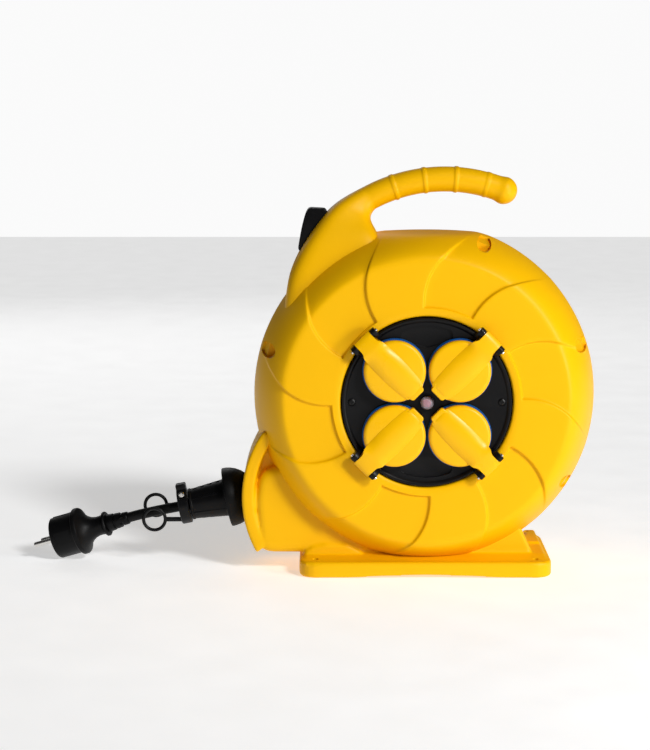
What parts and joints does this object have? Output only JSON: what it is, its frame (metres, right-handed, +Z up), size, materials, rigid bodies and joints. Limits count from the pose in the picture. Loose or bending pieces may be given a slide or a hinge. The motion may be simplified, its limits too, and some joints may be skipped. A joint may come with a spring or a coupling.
{
  "type": "extension cord reel",
  "caption": "Closed extension cord reel: round two-shell housing with hook handle, base plate, turning socket panel with hinged lids, crank, brake lever and a short lead with its plug.",
  "frame": {"origin": "on the floor at the centre of the base's four fixing holes, below the drum's axis, where the two shells meet", "axes": "+X along the base away from the cord outlet, +Y from the socket panel to the crank, +Z up"},
  "size_m": [0.4958, 0.1963, 0.3509],
  "materials": {
    "housing_yellow": "moulded yellow plastic, satin",
    "lid_yellow": "moulded yellow plastic, satin, a little smoother",
    "black_plastic": "moulded black plastic, semi-gloss",
    "drum_black": "moulded dark plastic",
    "bearing_white": "natural white bearing plastic",
    "black_rubber": "moulded black rubber",
    "cord_rubber": "black rubber cord sheath",
    "socket_blue": "moulded blue plastic",
    "red_button": "red plastic button",
    "clear_boot": "clear soft boot",
    "zinc_steel": "zinc-plated steel",
    "black_steel": "blackened steel",
    "nickel_steel": "nickel-plated metal",
    "contact_brass": "stamped brass"
  },
  "bodies": {
    "housing": {"front_shell": "housing_yellow", "rear_shell": "housing_yellow", "housing_screws": "zinc_steel", "rear_bearing": "bearing_white", "lever_pin": "zinc_steel", "lever_spring": "zinc_steel", "stop_ball": "black_rubber", "cord_sleeve": "black_rubber", "clamp_front": "black_plastic", "clamp_back": "black_plastic", "clamp_screw": "nickel_steel", "inner_cord": "cord_rubber", "cord": "cord_rubber", "plug_relief": "black_rubber", "plug_body": "black_rubber", "plug_pins": "nickel_steel"},
    "brake_lever": {"brake_lever": "black_plastic", "brake_pad": "black_rubber"},
    "drum": {"drum_front": "drum_black", "drum_rear": "drum_black", "drum_screws": "zinc_steel", "wound_cord": "cord_rubber", "drum_shaft": "zinc_steel", "socket_panel": "black_plastic", "hinge_ears": "black_plastic", "panel_screws": "black_steel", "socket_upper_right": "socket_blue", "socket_upper_left": "socket_blue", "socket_lower_left": "socket_blue", "socket_lower_right": "socket_blue", "earth_clips": "nickel_steel", "socket_contacts": "contact_brass", "bus_bars": "contact_brass", "lid_pins": "nickel_steel", "lid_springs": "zinc_steel", "thermal_cutout": "drum_black", "button_boot": "clear_boot", "crank_arm": "black_plastic", "crank_screw": "zinc_steel", "knob_pin": "zinc_steel"},
    "reset_button": {"reset_button": "red_button"},
    "crank_knob": {"crank_knob": "black_plastic"},
    "lid_upper_right": {"lid_upper_right": "lid_yellow", "seal_upper_right": "black_rubber"},
    "lid_upper_left": {"lid_upper_left": "lid_yellow", "seal_upper_left": "black_rubber"},
    "lid_lower_left": {"lid_lower_left": "lid_yellow", "seal_lower_left": "black_rubber"},
    "lid_lower_right": {"lid_lower_right": "lid_yellow", "seal_lower_right": "black_rubber"}
  },
  "joints": [
    {"name": "drum_spin", "type": "hinge", "parent": "housing", "child": "drum", "pos_m": [0, 0, 0.1525], "axis": [0, 1, 0], "continuous": true},
    {"name": "brake_press", "type": "hinge", "parent": "housing", "child": "brake_lever", "pos_m": [-0.103, 0, 0.2815], "axis": [0, 1, 0], "range_deg": [0, 8], "stiffness_Nm_per_rad": 0.6, "springref_deg": -14.32},
    {"name": "reset_press", "type": "slide", "parent": "drum", "child": "reset_button", "axis": [0, 1, 0], "range_m": [0, 0.002], "stiffness_N_per_m": 400, "springref_m": -0.002},
    {"name": "knob_spin", "type": "hinge", "parent": "drum", "child": "crank_knob", "pos_m": [-0.06511, 0.09, 0.09786], "axis": [0, 1, 0], "continuous": true},
    {"name": "lid_upper_right_open", "type": "hinge", "parent": "drum", "child": "lid_upper_right", "pos_m": [0.05372, -0.071, 0.20622], "axis": [-0.7071, 0, 0.7071], "range_deg": [0, 110], "stiffness_Nm_per_rad": 0.02, "springref_deg": -34.38},
    {"name": "lid_upper_left_open", "type": "hinge", "parent": "drum", "child": "lid_upper_left", "pos_m": [-0.05372, -0.071, 0.20622], "axis": [-0.7071, 0, -0.7071], "range_deg": [0, 110], "stiffness_Nm_per_rad": 0.02, "springref_deg": -34.38},
    {"name": "lid_lower_left_open", "type": "hinge", "parent": "drum", "child": "lid_lower_left", "pos_m": [-0.05372, -0.071, 0.09878], "axis": [0.7071, 0, -0.7071], "range_deg": [0, 110], "stiffness_Nm_per_rad": 0.02, "springref_deg": -34.38},
    {"name": "lid_lower_right_open", "type": "hinge", "parent": "drum", "child": "lid_lower_right", "pos_m": [0.05372, -0.071, 0.09878], "axis": [0.7071, 0, 0.7071], "range_deg": [0, 110], "stiffness_Nm_per_rad": 0.02, "springref_deg": -34.38}
  ]
}
